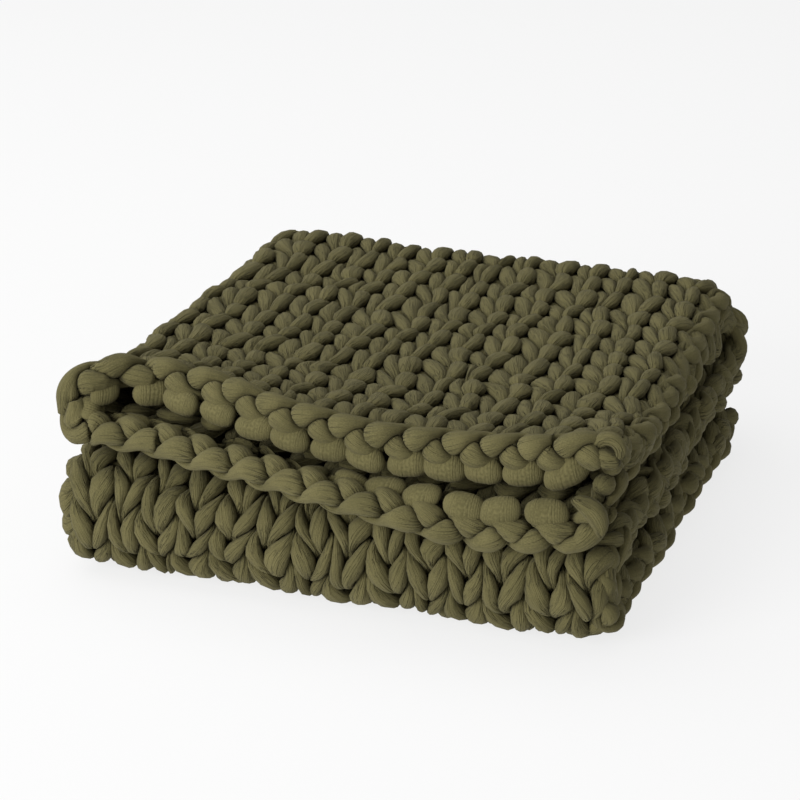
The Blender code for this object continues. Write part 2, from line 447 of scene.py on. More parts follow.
    def place(self, wale: Array, course: Array, lift: Array) -> Array:
        """Fold points of the flat cloth into the stack, with the selvages curled inwards.

        Args:
            wale: Place across the cloth.
            course: Place along the cloth.
            lift: Height above its middle.

        Returns:
            Points in the last axis.
        """
        from_edge = np.minimum(wale, self.wales - wale)
        into_curl = np.clip(self.curl_wales - from_edge, 0.0, None)
        angle = self.selvage_curl * into_curl
        arm = lift + self.half_layer
        outward = np.sin(angle) * arm / self.wale
        inset = into_curl * (self.curl_inset + 1 - np.sinc(angle / math.pi))
        lowered = arm * np.cos(angle) - self.half_layer
        lowered = lowered - into_curl * self.wale * np.sin(angle / 2)
        from_edge = np.where(into_curl > 0, from_edge + inset - outward, from_edge)
        lift = np.where(into_curl > 0, lowered, lift)
        wale = np.where(wale < self.wales / 2, from_edge, self.wales - from_edge)
        x, offset, facing = self.across(wale)
        length = self.crowded(course) * self.course
        start = np.clip(1 - length / self.droop_length, 0.0, 1.0)
        y, z = self.along(length, offset, lift * np.sin(facing))
        points = self.settle(x + lift * np.cos(facing), y, z, offset, start)
        back, up = EdgeTable.DRAPE.at(wale)
        share = smooth_step(1 - length / self.drape_length)
        points[..., 1] += back * share
        points[..., 2] = (points[..., 2] + up * share) * self.press
        points[..., 2] = np.maximum(points[..., 2], self.floor_gap)
        return points

    def edge_frame(self, wale: Array, course: Array, lift: Values,
                   edge: CordEdge) -> tuple[Array, Array, Array]:
        """Points along an edge cord and its own axes.

        Args:
            wale: Place across the cloth.
            course: Place along the cloth.
            lift: Height above its middle.
            edge: The edge that the cord follows.

        Returns:
            Points, unit vectors outwards from the cloth, and unit vectors towards the knit side.
        """
        nudge = self.nudge
        middle = self.place(wale, course, lift)
        along_row = self.place(wale + nudge, course, lift) - self.place(wale - nudge, course, lift)
        along_side = self.place(wale, course + nudge, lift) - self.place(wale, course - nudge, lift)
        up = self.place(wale, course, lift + nudge) - middle
        if edge is CordEdge.ROW:
            along, out = along_row, -along_side
        else:
            along, out = along_side, along_row * np.sign(wale - self.wales / 2)[:, None]
        along = unit(along)
        up = unit(up - along * (up * along).sum(axis=1, keepdims=True))
        across = np.cross(along, up)
        across = across * np.sign((across * out).sum(axis=1, keepdims=True))
        return middle, across, up

    def turns_at(self, wale: float) -> tuple[float, float, float]:
        """Where the turns lie in the layer of a wale.

        Args:
            wale: A wale of that layer.

        Returns:
            The courses where the back turn ends, the front turn starts and the front turn ends.
        """
        offset = self.half_layer if wale < self.wales / 2 else -self.half_layer
        back_end = (self.top_run + math.pi * (self.layer + offset)) / self.course
        front_start = back_end + self.middle_run / self.course
        front_end = front_start + math.pi * (self.layer - offset) / self.course
        return back_end, front_start, front_end


class Missing(Enum):
    """On which side a stitch has no neighbour, as the sign of the step to that side."""

    NEITHER = 0
    BEFORE = -1
    AFTER = 1


@dataclass(frozen=True)
class YarnStitch:
    """One stitch of flat stockinette as a closed formula.

    The yarn swings sideways and reaches up from its feet to its head, crossing in front of and
    behind its neighbours. Reach, depth, lean and tilt are in wales of one full turn.
    """

    cloth: FoldedCloth
    swing: float = 2.0
    slant: float = 0.0
    reach: float = 6.2
    depth: float = 1.6
    neck: float = 0.36
    lean: float = -0.35
    tilt: float = 0.0
    radius: float = 0.0125
    samples: int = 96
    squeeze: Squeeze = Squeeze(hardness=4.5, least_share=0.25)
    neighbours: int = 2
    own_turn: float = 1.0

    def path(self, turn: Array) -> Array:
        """The middle of the yarn.

        Args:
            turn: Angle along the stitch, -pi and pi at its feet and 0 at its head.

        Returns:
            Points (along the row, towards newer rows, towards the knit side), in metres.
        """
        scale = self.cloth.wale / FULL_TURN
        up = self.reach * scale * np.cos(turn)
        along = (turn + self.swing * np.sin(2 * turn)) * scale - self.slant * up
        out = self.lean * np.cos(turn) + self.tilt * np.sin(turn)
        out = (out - self.depth * np.cos(2 * turn)) * scale
        return np.stack([along, up, out], axis=-1)

    def girth(self, turn: Array) -> Array:
        """Radius of the yarn, which is drawn in where stitches cross."""
        return self.radius * (1 - self.neck * np.sin(2 * turn) ** 2)

    def turns(self) -> Array:
        """Angles of the samples along one stitch, from foot to foot."""
        return np.linspace(-math.pi, math.pi, self.samples, endpoint=False)

    def tangents(self, points: Array) -> Array:
        """Unit vectors along the yarn, whose next stitch is one wale on.

        Args:
            points: The middle of the yarn, one stitch long.

        Returns:
            Unit vectors (sample, axis).
        """
        step = np.array([self.cloth.wale, 0, 0])
        after = np.concatenate([points[1:], points[:1] + step])
        before = np.concatenate([points[-1:] - step, points[:-1]])
        return unit(after - before)

    @cache
    def tube(self, sides: int, missing: Missing) -> tuple[Array, Array]:
        """The yarn's surface, flattened where it presses on its neighbours.

        Args:
            sides: Points round the yarn.
            missing: The side on which no stitch follows.

        Returns:
            Points (sample, side, axis) and how free each is, from 0 pressed to 1 round.
        """
        turn = self.turns()
        yarn = Strand(self.path(turn), self.girth(turn))
        around = around_yarn(self.tangents(yarn.middle), sides, hand=1.0)
        pushes = np.ones((self.samples, sides))
        own_stretch = round(self.own_turn / FULL_TURN * self.samples)
        index = np.arange(self.samples)
        steps = range(-self.neighbours, self.neighbours + 1)
        for wales in steps:
            if wales * missing.value > 0:
                continue
            apart = np.abs(index[:, None] - index[None] - wales * self.samples)
            for courses in steps:
                shift = [wales * self.cloth.wale, courses * self.cloth.course, 0]
                other = Strand(yarn.middle + shift, yarn.radius)
                allowed = (apart > own_stretch) | (courses != 0)
                pushes = pushes + self.squeeze.push(yarn.radius, yarn.room(around, other, allowed))
        least = self.squeeze.least_share * yarn.radius[:, None]
        radii = eased(np.maximum(self.squeeze.radii(yarn.radius, pushes), least))
        return yarn.middle[:, None] + around * radii[..., None], radii / yarn.radius[:, None]


class NodeBench:
    """A material in the making: adds shader nodes and joins them."""

    def __init__(self, name: str) -> None:
        """Start a material.

        Args:
            name: The material's name.
        """
        self.material = bpy.data.materials.new(name)
        self.material.use_nodes = True
        self.nodes = self.material.node_tree.nodes
        self.links = self.material.node_tree.links

    def feed(self, node: bpy.types.Node, inputs: dict) -> None:
        """Set or join a node's inputs.

        Args:
            node: The node.
            inputs: For each socket, by name or number, its value or the output that feeds it.
        """
        for socket, value in inputs.items():
            if isinstance(value, Socket):
                self.links.new(value, node.inputs[socket])
            else:
                node.inputs[socket].default_value = value

    def add(self, kind: str, output: str | int, inputs: dict | None = None,
            **settings: str | bool) -> Socket:
        """Add a node.

        Args:
            kind: The node's type, without the words that every type starts with.
            output: The socket to read from it.
            inputs: For each socket, its value or the output that feeds it.
            settings: The node's own settings.

        Returns:
            That output.
        """
        node = self.nodes.new("ShaderNode" + kind)
        for setting, value in settings.items():
            setattr(node, setting, value)
        self.feed(node, inputs or {})
        return node.outputs[output]

    def math(self, operation: str, *values: float | Socket) -> Socket:
        """Reckon with values and outputs."""
        return self.add("Math", "Value", dict(enumerate(values)), operation=operation)

    def dress(self, inputs: dict) -> Material:
        """Finish the material by its shader's inputs."""
        self.feed(self.nodes["Principled BSDF"], inputs)
        return self.material


@dataclass(frozen=True)
class YarnNoise:
    """Noise along the yarn: its grains in a metre along it and round it, and its finer layers."""

    scale: Point
    detail: float
    roughness: float

    def add(self, bench: NodeBench, uv: Socket) -> Socket:
        """Add the noise to a material, by the yarn's UV map in metres."""
        place = bench.add("Mapping", "Vector", {"Scale": self.scale, "Vector": uv})
        inputs = {"Vector": place, "Scale": 1.0, "Detail": self.detail, "Roughness": self.roughness}
        return bench.add("TexNoise", "Fac", inputs, noise_dimensions="2D")


@dataclass(frozen=True)
class JerseyFinish:
    """Matte olive jersey: fine ribs along the yarn, soft folds and thin creases at its necks, with
    painted shade along the creases.
    """

    shade: Point = (0.082, 0.073, 0.029)
    light: Point = (0.118, 0.104, 0.043)
    ramp_at: tuple[float, float] = (0.30, 0.72)
    roughness: float = 0.93
    specular: float = 0.15
    sheen: float = 0.05
    sheen_roughness: float = 0.6
    sheen_tint: Point = (0.80, 0.76, 0.60)

    mottle_scale: float = 26.0
    mottle_detail: float = 4.0
    mottle_roughness: float = 0.6
    grain: YarnNoise = YarnNoise((820.0, 1050.0, 1.0), detail=1.0, roughness=0.5)
    grain_share: float = 0.9
    folds: YarnNoise = YarnNoise((20.0, 170.0, 1.0), detail=2.0, roughness=0.55)
    fold_height: float = 0.0062

    # Creases lie where the folds' noise passes its middle value. There the yarn is dented, and its
    # colour is darkened towards a painted shade, a share of the shade colour.
    line_width: float = 0.035
    line_strength: float = 0.75
    painted_line_shade: float = 0.35
    line_height: float = 0.0014

    rib_pitch: float = 0.0016
    rib_height: float = 0.00030
    rib_strength: float = 0.7
    rib_waver: float = 3.0
    rib_detail: float = 2.0

    # The wave texture's own scale, and the numbers of a mix node's colour sockets.
    WAVE_RADIANS = 20.0
    MIX_FIRST = 6
    MIX_SECOND = 7
    MIX_RESULT = 2

    def cotton(self, bench: NodeBench, grain: Socket) -> Socket:
        """The cotton's colour: a slow mottle over the piece and a fine grain along the yarn.

        Args:
            bench: The material in the making.
            grain: The grain's noise.

        Returns:
            The colour.
        """
        inputs = {"Vector": bench.add("TexCoord", "Object"), "Scale": self.mottle_scale}
        inputs |= {"Detail": self.mottle_detail, "Roughness": self.mottle_roughness}
        mottle = bench.add("TexNoise", "Fac", inputs)
        grain = bench.math("SUBTRACT", grain, 0.5)
        mixed = bench.math("MULTIPLY_ADD", grain, self.grain_share, mottle)
        colour = bench.add("ValToRGB", "Color", {"Fac": mixed})
        stops = zip(colour.node.color_ramp.elements, self.ramp_at, (self.shade, self.light))
        for stop, position, shade in stops:
            stop.position = position
            stop.color = (*shade, 1)
        return colour

    def material(self) -> Material:
        """Build the finish, whose crease lines are darkened with painted shade.

        Returns:
            The material, reading each piece's own UV map and its crease attribute.
        """
        bench = NodeBench("olive_jersey_yarn")
        uv = bench.add("UVMap", "UV", uv_map="UVMap")
        crease = bench.add("Attribute", "Fac", attribute_name=CREASE)
        grain = self.grain.add(bench, uv)
        folds = self.folds.add(bench, uv)
        distance = bench.math("ABSOLUTE", bench.math("SUBTRACT", folds, 0.5))
        inputs = {"Value": distance, "From Min": 0.0, "From Max": self.line_width}
        inputs |= {"To Min": self.line_strength, "To Max": 0.0}
        line = bench.add("MapRange", "Result", inputs, interpolation_type="SMOOTHSTEP")
        line = bench.math("MULTIPLY", line, crease)
        scale = FULL_TURN / (self.WAVE_RADIANS * self.rib_pitch)
        inputs = {"Vector": uv, "Scale": scale, "Distortion": self.rib_waver, "Detail": self.rib_detail}
        ribs = bench.add("TexWave", "Fac", inputs, wave_type="BANDS", bands_direction="Y")
        folds = bench.math("MULTIPLY", folds, crease)
        reliefs = [(folds, self.fold_height, 1.0), (line, -self.line_height, 1.0)]
        reliefs.append((ribs, self.rib_height, self.rib_strength))
        below = {}
        for height, distance, strength in reliefs:
            inputs = {"Height": height, "Distance": abs(distance), "Strength": strength}
            below = {"Normal": bench.add("Bump", "Normal", inputs | below, invert=distance < 0)}
        # Painted shade: the crease lines mix the cotton's colour towards this darker colour, which
        # stands in for the shade in the creases.
        deep = (*(self.painted_line_shade * part for part in self.shade), 1)
        colour = bench.add("Mix", self.MIX_RESULT, data_type="RGBA")
        cotton = self.cotton(bench, grain)
        bench.feed(colour.node, {"Factor": line, self.MIX_FIRST: cotton, self.MIX_SECOND: deep})
        return bench.dress({**below, "Base Color": colour, "Roughness": self.roughness,
                            "Specular IOR Level": self.specular, "Sheen Weight": self.sheen,
                            "Sheen Roughness": self.sheen_roughness,
                            "Sheen Tint": (*self.sheen_tint, 1)})


@dataclass
class YarnTube:
    """A closed tube of yarn, wound from a flat grid of faces."""

    name: str
    rings: Array
    creases: Array
    girth: float = 0.075
    dome_rings: int = 3
    dome_start: float = 0.35
    merge_distance: float = 1e-7

    def __post_init__(self) -> None:
        """Draw the rings in at either end, to close it in a dome."""
        rings = self.rings.copy()
        centres = rings.mean(axis=1, keepdims=True)
        for step in range(self.dome_rings):
            share = math.sin(math.acos(1 - (step + self.dome_start) / self.dome_rings))
            for ring in (step, len(rings) - 1 - step):
                rings[ring] = centres[ring] + (rings[ring] - centres[ring]) * share
        self.rings = rings

    def wind(self, mesh: bpy.types.Mesh) -> None:
        """Roll the flat grid into the tube, with its crease attribute and a UV map in metres.

        Args:
            mesh: A grid two metres wide, with a column of vertices for each ring.
        """
        count, sides = self.rings.shape[:2]
        flat = np.empty(len(mesh.vertices) * 3)
        mesh.vertices.foreach_get("co", flat)
        flat = flat.reshape(-1, 3)
        ring = np.rint((flat[:, 0] + 1) / 2 * (count - 1)).astype(int)
        side = np.rint((flat[:, 1] + 1) / 2 * sides).astype(int) % sides
        mesh.vertices.foreach_set("co", self.rings[ring, side].ravel())
        crease = mesh.attributes.new(CREASE, "FLOAT", "POINT")
        crease.data.foreach_set("value", self.creases[ring, side].astype(np.float32))
        steps = np.linalg.norm(np.diff(self.rings.mean(axis=1), axis=0), axis=1)
        run = np.concatenate([[0], np.cumsum(steps)])
        spread = np.empty(len(mesh.loops) * 2)
        mesh.uv_layers.active.data.foreach_get("uv", spread)
        spread = spread.reshape(-1, 2)
        spread[:, 0] = run[np.rint(spread[:, 0] * (count - 1)).astype(int)]
        spread[:, 1] = spread[:, 1] * self.girth
        mesh.uv_layers.active.data.foreach_set("uv", spread.ravel())
        mesh.update()

    def build(self) -> bpy.types.Object:
        """Wind the tube and close it.

        Returns:
            The tube's object.
        """
        count, sides = self.rings.shape[:2]
        bpy.ops.mesh.primitive_grid_add(x_subdivisions=count - 1, y_subdivisions=sides, size=2.0)
        tube = bpy.context.object
        tube.name = self.name
        self.wind(tube.data)
        bpy.ops.object.mode_set(mode="EDIT")
        bpy.ops.mesh.select_all(action="SELECT")
        bpy.ops.mesh.remove_doubles(threshold=self.merge_distance)
        bpy.ops.mesh.fill_holes(sides=0)
        bpy.ops.mesh.select_all(action="SELECT")
        bpy.ops.mesh.normals_make_consistent(inside=False)
        bpy.ops.object.mode_set(mode="OBJECT")
        return tube


class YarnWork:
    """Whatever is wound from tubes of yarn."""

    def tubes(self) -> Iterator[Tube]:
        """The tubes that make the piece."""
        raise NotImplementedError

    def build(self, name: str, material: Material) -> bpy.types.Object:
        """Args:
            name: The piece's name.
            material: Its finish.

        Returns:
            The finished piece.
        """
        wound = []
        for number, (rings, creases) in enumerate(self.tubes()):
            bpy.ops.object.select_all(action="DESELECT")
            wound.append(YarnTube(f"{name}_{number}", rings, creases).build())
        bpy.ops.object.select_all(action="DESELECT")
        for tube in wound:
            tube.select_set(True)
        piece = wound[0]
        bpy.context.view_layer.objects.active = piece
        if len(wound) > 1:
            bpy.ops.object.join()
        piece.name = name
        piece.data.name = name
        bpy.ops.object.shade_smooth()
        piece.data.materials.clear()
        piece.data.materials.append(material)
        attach(piece, BODY)
        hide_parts(SOLID)
        LOG.info("%s: %d tubes, %d faces", name, len(wound), len(piece.data.polygons))
        return piece


@dataclass
class KnitRows(YarnWork):
    """Rows of stockinette, each one tube of yarn from selvage to selvage."""

    cloth: FoldedCloth
    stitch: YarnStitch
    rows: range
    sides: int = 14
    flatten: float = 0.88
    tucked_course: float = 0.62

    # Every how many samples there is a ring, and how far past a turn or fold the fine ones go.
    fine_step: int = 3
    under_step: int = 6
    coarse_step: int = 12
    fold_reach: float = 1.6
    fine_rows: int = 3
    past_back_turn: float = 1.0
    before_front_turn: float = 1.5
    past_front_turn: float = 0.5

    # The knitter's unevenness: wales, courses, metres of lift and share of thickness.
    wale_drift: float = 0.12
    course_drift: float = 0.11
    lift_drift: float = 0.0018
    small_drift: float = 0.05
    lumps: float = 0.06
    slow_wale: Unevenness = Unevenness(11)
    slow_course: Unevenness = Unevenness(23)
    slow_lift: Unevenness = Unevenness(37)
    quick_wale: Unevenness = Unevenness(71, shortest=0.9, longest=1.7)
    quick_course: Unevenness = Unevenness(83, shortest=0.9, longest=1.7)
    lumpiness: Unevenness = Unevenness(61, shortest=0.5, longest=1.6)

    # How creased the yarn is at its fullest, how much more at its necks, and the pressed share of that;
    # the crease sets the fold bumps and how much painted shade darkens the crease lines.
    least_crease: float = 0.36
    neck_crease: float = 0.64
    pressed_crease: float = 0.4

    def step(self, wale: int, row: int) -> int:
        """How finely a stitch is drawn.

        Args:
            wale: The stitch's wale.
            row: The stitch's course.

        Returns:
            Every how many samples there is a ring.
        """
        cloth = self.cloth
        back_end, front_start, front_end = cloth.turns_at(wale)
        on_fold = abs(wale + 0.5 - cloth.wales / 2) < self.fold_reach
        on_edge = wale < 1 or wale >= cloth.wales - 1 or row < self.fine_rows
        shows_on_top = wale < cloth.wales / 2 and row < back_end + self.past_back_turn
        if on_fold or on_edge or shows_on_top:
            return self.fine_step
        if wale < cloth.wales / 2 or row < front_start - self.before_front_turn:
            return self.coarse_step
        return self.fine_step if row < front_end + self.past_front_turn else self.under_step

    def lay(self, wale: Array, course: Array, lift: Array) -> Array:
        """Fold flat points into the stack with the knitter's unevenness.

        Args:
            wale: Place across the cloth.
            course: Place along the cloth.
            lift: Height above its middle.

        Returns:
            Points in the last axis.
        """
        moved = wale + self.wale_drift * self.slow_wale.at(wale, course)
        moved = moved + self.small_drift * self.quick_wale.at(wale, course)
        along = course + self.course_drift * self.slow_course.at(wale, course)
        along = along + self.small_drift * self.quick_course.at(wale, course)
        raised = lift + self.lift_drift * self.slow_lift.at(wale, course)
        points = self.cloth.place(moved, along, raised)
        middle = points.mean(axis=1, keepdims=True)
        lump = self.lumps * self.lumpiness.at(wale.mean(axis=1), course.mean(axis=1))
        points = middle + (points - middle) * (1 + lump[:, None, None])
        points[..., 2] = np.maximum(points[..., 2], self.cloth.floor_gap)
        return points

    def row(self, row: int) -> Tube:
        """One row's tube.

        Args:
            row: Its course.

        Returns:
            The tube.
        """
        cloth = self.cloth
        drawn_in = np.sin(2 * self.stitch.turns()[:, None]) ** 2
        missing = {0: Missing.BEFORE, cloth.wales - 1: Missing.AFTER}
        flats = []
        creases = []
        for wale in range(cloth.wales):
            points, freedom = self.stitch.tube(self.sides, missing.get(wale, Missing.NEITHER))
            chosen = slice(None, None, self.step(wale, row))
            flat = points[chosen] * [1 / cloth.wale, -1 / cloth.course, self.flatten]
            flats.append(flat + [wale + 0.5, row + 0.5, 0.0])
            free = self.pressed_crease + (1 - self.pressed_crease) * freedom[chosen]
            creases.append(self.least_crease + self.neck_crease * drawn_in[chosen] * free)
        flat = np.concatenate(flats)
        course = np.maximum(flat[..., 1], self.tucked_course)
        return self.lay(flat[..., 0], course, flat[..., 2]), np.clip(np.concatenate(creases), 0, 1)

    def tubes(self) -> Iterator[Tube]:
        """The rows' tubes."""
        return map(self.row, self.rows)


@dataclass(frozen=True)
class Plait:
    """Three strands of yarn that cross once a link, in the cord's own axes."""

    link: float
    half_height: float = 0.0086
    half_depth: float = 0.0078
    radius: float = 0.0122
    squeeze: Squeeze = Squeeze(hardness=6.0, least_share=0.3)
    sides: int = 14
    neck: float = 0.50
    full_early: float = -0.55
    least_crease: float = 0.16
    crossing_crease: float = 0.80
    crossing_sharpness: int = 6

    def turn(self, number: int, link: Array) -> Array:
        """The angle of one strand's swing, one turn in three links."""
        return FULL_TURN * (link + number) / STRANDS

    def strand(self, number: int, link: Array) -> Strand:
        """One strand, full where it lies in front and drawn in behind.

        Args:
            number: Which of the three strands.
            link: Links along the cord.

        Returns:
            The strand, in metres along, height and depth towards the front.
        """
        turn = self.turn(number, link)
        height = self.half_height * np.sin(turn)
        depth = -self.half_depth * np.sin(2 * turn)
        radius = self.radius * (1 - self.neck * (1 + np.sin(2 * turn + self.full_early)) / 2)
        return Strand(np.stack([link * self.link, height, depth], axis=-1), radius)

    def surface(self, number: int, link: Array) -> Array:
        """One strand's surface, flattened where it presses on the other two.

        Args:
            number: Which of the three strands.
            link: Links along the cord.

        Returns:
            Points (ring, side, axis) in the cord's own axes.
        """
        strand = self.strand(number, link)
        tangent = unit(np.gradient(strand.middle, axis=0))
        around = around_yarn(tangent, self.sides, hand=-1.0)
        pushes = np.ones((len(link), self.sides))
        for other in range(STRANDS):
            if other != number:
                room = strand.room(around, self.strand(other, link))
                pushes = pushes + self.squeeze.push(strand.radius, room)
        radii = eased(self.squeeze.radii(strand.radius, pushes))
        return strand.middle[:, None] + around * radii[..., None]

    def creases(self, number: int, link: Array) -> Array:
        """How creased one strand is (ring, side), most where it crosses over, which also sets its
        painted crease shade.
        """
        crossing = np.cos(self.turn(number, link)) ** self.crossing_sharpness
        return np.outer(self.least_crease + self.crossing_crease * crossing, np.ones(self.sides))


@dataclass(frozen=True)
class CordAxes:
    """A point on a cord, and unit vectors outwards, towards the knit side and along the cord."""

    middle: Array
    out: Array
    up: Array
    along: Array

    def beside(self, along: Values = 0.0, up: Values = 0.0, out: Values = 0.0) -> Array:
        """Points that lie so many metres along, up and out from the middle."""
        along, up, out = (np.asarray(step)[..., None] for step in (along, up, out))
        return self.middle + along * self.along + up * self.up + out * self.out


@dataclass
class BoundOffChain(YarnWork):
    """The cord along the bound-off edge: a plaited chain and the loops of the last row below it."""

    cloth: FoldedCloth
    first: float = 0.4
    last: float = 28.7
    centre_course: float = 0.42
    chain_height: float = 0.0125
    chain_radius: float = 0.0136
    fold_bulge: float = -0.009
    fold_reach: float = 1.6
    crowding: float = 0.45
    samples_per_wale: int = 24
    sides: int = 14
    barrel_power: float = 0.7
    axis_nudge: float = 0.01

    # The loops: their yarn, the arc that shows, and where they are small or hidden.
    loop_radius: float = 0.0120
    loop_end_share: float = 0.55
    loop_fullness: float = 0.6
    loop_width: float = 1.88
    loop_reach: float = 0.0070
    loop_drop: float = 0.0085
    loop_from: float = -95.0
    loop_to: float = 120.0
    loop_samples: int = 20
    hidden_wale: float = 19.0
    hidden_reach: float = 5.0
    hidden_loop_share: float = 0.75
    hidden_loop_back: float = 0.020
    fold_loop_share: float = 0.55
    fold_loop_reach: float = 2.0
    least_crease: float = 0.16
    end_crease: float = 0.84

    # Unevenness, and the courses where it is read for the strands and the loops.
    lumps: float = 0.07
    loop_drift: float = 0.07
    loop_tilt: float = 0.12
    strand_courses: float = 7.0
    loop_course: float = 30.0
    lumpiness: Unevenness = Unevenness(97, shortest=1.1, longest=2.6)
    drift: Unevenness = Unevenness(89, shortest=1.1, longest=3.1)

    def frame_at(self, wale: Array) -> tuple[Array, Array, Array]:
        """The cord's middle and its rolled axes.

        Args:
            wale: Wales along the edge.

        Returns:
            Points, outward unit vectors and knit-side unit vectors.
        """
        half = self.cloth.wales / 2
        lift = self.fold_bulge * hump(wale, half, self.fold_reach)
        wale = wale - self.crowding * np.sin(math.pi * np.clip(wale / half, 0.0, 1.0))
        course = np.full_like(wale, self.centre_course)
        middle, out, up = self.cloth.edge_frame(wale, course, lift, CordEdge.ROW)
        (degrees,) = EdgeTable.ROLL.at(wale)
        turn = np.radians(degrees)[:, None]
        return middle, out * np.cos(turn) + up * np.sin(turn), up * np.cos(turn) - out * np.sin(turn)

    def strand_rings(self, plait: Plait, number: int, wale: Array) -> Array:
        """One strand's surface in its place on the edge.

        Args:
            plait: The chain's plait.
            number: Which of the three strands.
            wale: Wales along the edge.

        Returns:
            Points (ring, side, axis).
        """
        centre = plait.strand(number, wale).middle[:, None]
        course = np.full_like(wale, self.strand_courses * number)
        lump = 1 + self.lumps * self.lumpiness.at(wale, course)
        flat = centre + (plait.surface(number, wale) - centre) * lump[:, None, None]
        middle, out, up = self.frame_at((flat[..., 0] / plait.link).ravel())
        height = (flat[..., 1] + self.chain_height).ravel()[:, None]
        depth = flat[..., 2].ravel()[:, None]
        return (middle + up * height + out * depth).reshape(flat.shape)

    def wound(self, path: Array, girth: Array, wide: Array, deep: Array) -> Array:
        """A tube of barrel section along a short path.

        Args:
            path: The middle of the yarn.
            girth: Its radius at each point of the path.
            wide: The vector of its wide side.
            deep: The vectors of its other side, one for each point.

        Returns:
            Points (ring, side, axis).
        """
        angle = ring_angles(self.sides)
        barrel = np.sign(np.cos(angle)) * np.abs(np.cos(angle)) ** self.barrel_power
        around = wide * barrel[None, :, None] + deep[:, None] * np.sin(angle)[None, :, None]
        return path[:, None] + around * girth[:, None, None]

    def axes_at(self, wale: float) -> CordAxes:
        """The cord's middle and axes at one wale."""
        middle, out, up = self.frame_at(wale + self.axis_nudge * np.array([-1.0, 0.0, 1.0]))
        return CordAxes(middle[1], out[1], up[1], unit(middle[2] - middle[0]))

    def loop(self, wale: float) -> Tube:
        """One loop of the last row, which wraps the edge below the chain.

        Args:
            wale: The loop's wale.

        Returns:
            Its tube.
        """
        uneven = self.drift.at(wale, 0.0)
        axes = self.axes_at(wale + self.loop_drift * uneven)
        hidden = hump(wale, self.hidden_wale, self.hidden_reach)
        on_fold = hump(wale, self.cloth.wales / 2, self.fold_loop_reach)
        turn = np.radians(np.linspace(self.loop_from, self.loop_to, self.loop_samples))
        radial = -axes.up * np.sin(turn)[:, None] + axes.out * np.cos(turn)[:, None]
        centre = axes.beside(up=-self.loop_drop, out=-self.hidden_loop_back * hidden)
        bulge = np.sin(math.pi * (turn - turn[0]) / (turn[-1] - turn[0]))
        girth = self.loop_end_share + (1 - self.loop_end_share) * bulge**self.loop_fullness
        girth = self.loop_radius * girth * (1 - (1 - self.hidden_loop_share) * hidden)
        girth = girth * (1 - (1 - self.fold_loop_share) * on_fold)
        (size,) = EdgeTable.LOOP_SIZE.at(wale)
        girth = girth * size * (1 + self.lumps * self.lumpiness.at(wale, self.loop_course))
        wide = axes.along + (axes.up - axes.out) * self.loop_tilt * uneven
        path = centre + radial * self.loop_reach
        rings = self.wound(path, girth, wide * self.loop_width / size, radial)
        crease = self.least_crease + self.end_crease * (1 - bulge)
        return rings, np.repeat(crease[:, None], self.sides, axis=1)

    def tubes(self) -> Iterator[Tube]:
        """The chain and its loops.

        Returns:
            The tubes of the three strands along the edge, and then of the loops.
        """
        plait = Plait(self.cloth.wale, radius=self.chain_radius, sides=self.sides)
        count = int((self.last - self.first) * self.samples_per_wale)
        wales = np.linspace(self.first, self.last, count)
        for number in range(STRANDS):
            yield self.strand_rings(plait, number, wales), plait.creases(number, wales)
        for wale in np.arange(math.ceil(self.first), math.floor(self.last)) + 0.5:
            yield self.loop(float(wale))


@dataclass
class CordEnds(YarnWork):
    """The two ends of the bound-off cord: a strand hooked over a bead, and one that turns up."""

    chain: BoundOffChain
    samples: int = 40
    fullness: float = 0.6

    # The hook over the upper end. A place is so many metres along, up and out from the cord.
    knot_wale: float = 1.1
    knot_place: Point = (-0.035, 0.0055, 0.003)
    knot_crease: float = 0.6
    hook_radius: float = 0.0122
    hook_yarn: float = 0.0072
    hook_least: float = 0.6
    hook_from: float = 115.0
    hook_to: float = -135.0
    hook_lean: float = 0.004

    # The bead inside the hook, from the hook's middle.
    bead_place: Point = (0.004, -0.007, 0.004)
    bead_slope: Point = (0.0130, 0.004, 0.0)
    bead_yarn: float = 0.0105
    bead_least: float = 0.45

    # The strand that turns up at the lower end.
    leaf_wale: float = 28.3
    leaf_place: Point = (0.008, 0.0, 0.016)
    leaf_yarn: float = 0.0108
    leaf_least: float = 0.35
    leaf_half: float = 0.025
    leaf_bow: float = 0.008
    leaf_crease: float = 0.4
    leaf_end_crease: float = 0.5

    def taper(self, share: Array, least: float) -> Array:
        """How full a short strand is, from one end at -1 to the other at 1."""
        return least + (1 - least) * np.cos(math.pi * share / 2) ** self.fullness

    def tubes(self) -> Iterator[Tube]:
        """Both ends.

        Returns:
            The tubes of the upper end's hook and bead, and of the lower end's leaf.
        """
        share = np.linspace(-1.0, 1.0, self.samples)
        axes = self.chain.axes_at(self.knot_wale)
        axes = replace(axes, middle=axes.beside(*self.knot_place))
        turn = np.radians(np.linspace(self.hook_from, self.hook_to, self.samples))
        radial = axes.up * np.cos(turn)[:, None] + axes.along * np.sin(turn)[:, None]
        path = axes.beside(out=self.hook_lean * share) + radial * self.hook_radius
        girth = self.hook_yarn * self.taper(share, self.hook_least)
        rings = self.chain.wound(path, girth, axes.out, radial)
        crease = np.full(rings.shape[:2], self.knot_crease)
        yield rings, crease
        spots = np.array(self.bead_place) + share[:, None] * self.bead_slope
        path = axes.beside(*spots.T)
        girth = self.bead_yarn * self.taper(share, self.bead_least)
        yield self.chain.wound(path, girth, axes.out, np.tile(axes.up, (self.samples, 1))), crease
        axes = self.chain.axes_at(self.leaf_wale)
        axes = replace(axes, middle=axes.beside(*self.leaf_place))
        path = axes.beside(self.leaf_bow * (1 - share**2), self.leaf_half * share)
        girth = self.leaf_yarn * self.taper(share, self.leaf_least)
        rings = self.chain.wound(path, girth, axes.along, np.tile(axes.out, (self.samples, 1)))
        crease = self.leaf_crease + self.leaf_end_crease * share**2
        yield rings, np.repeat(crease[:, None], self.chain.sides, axis=1)


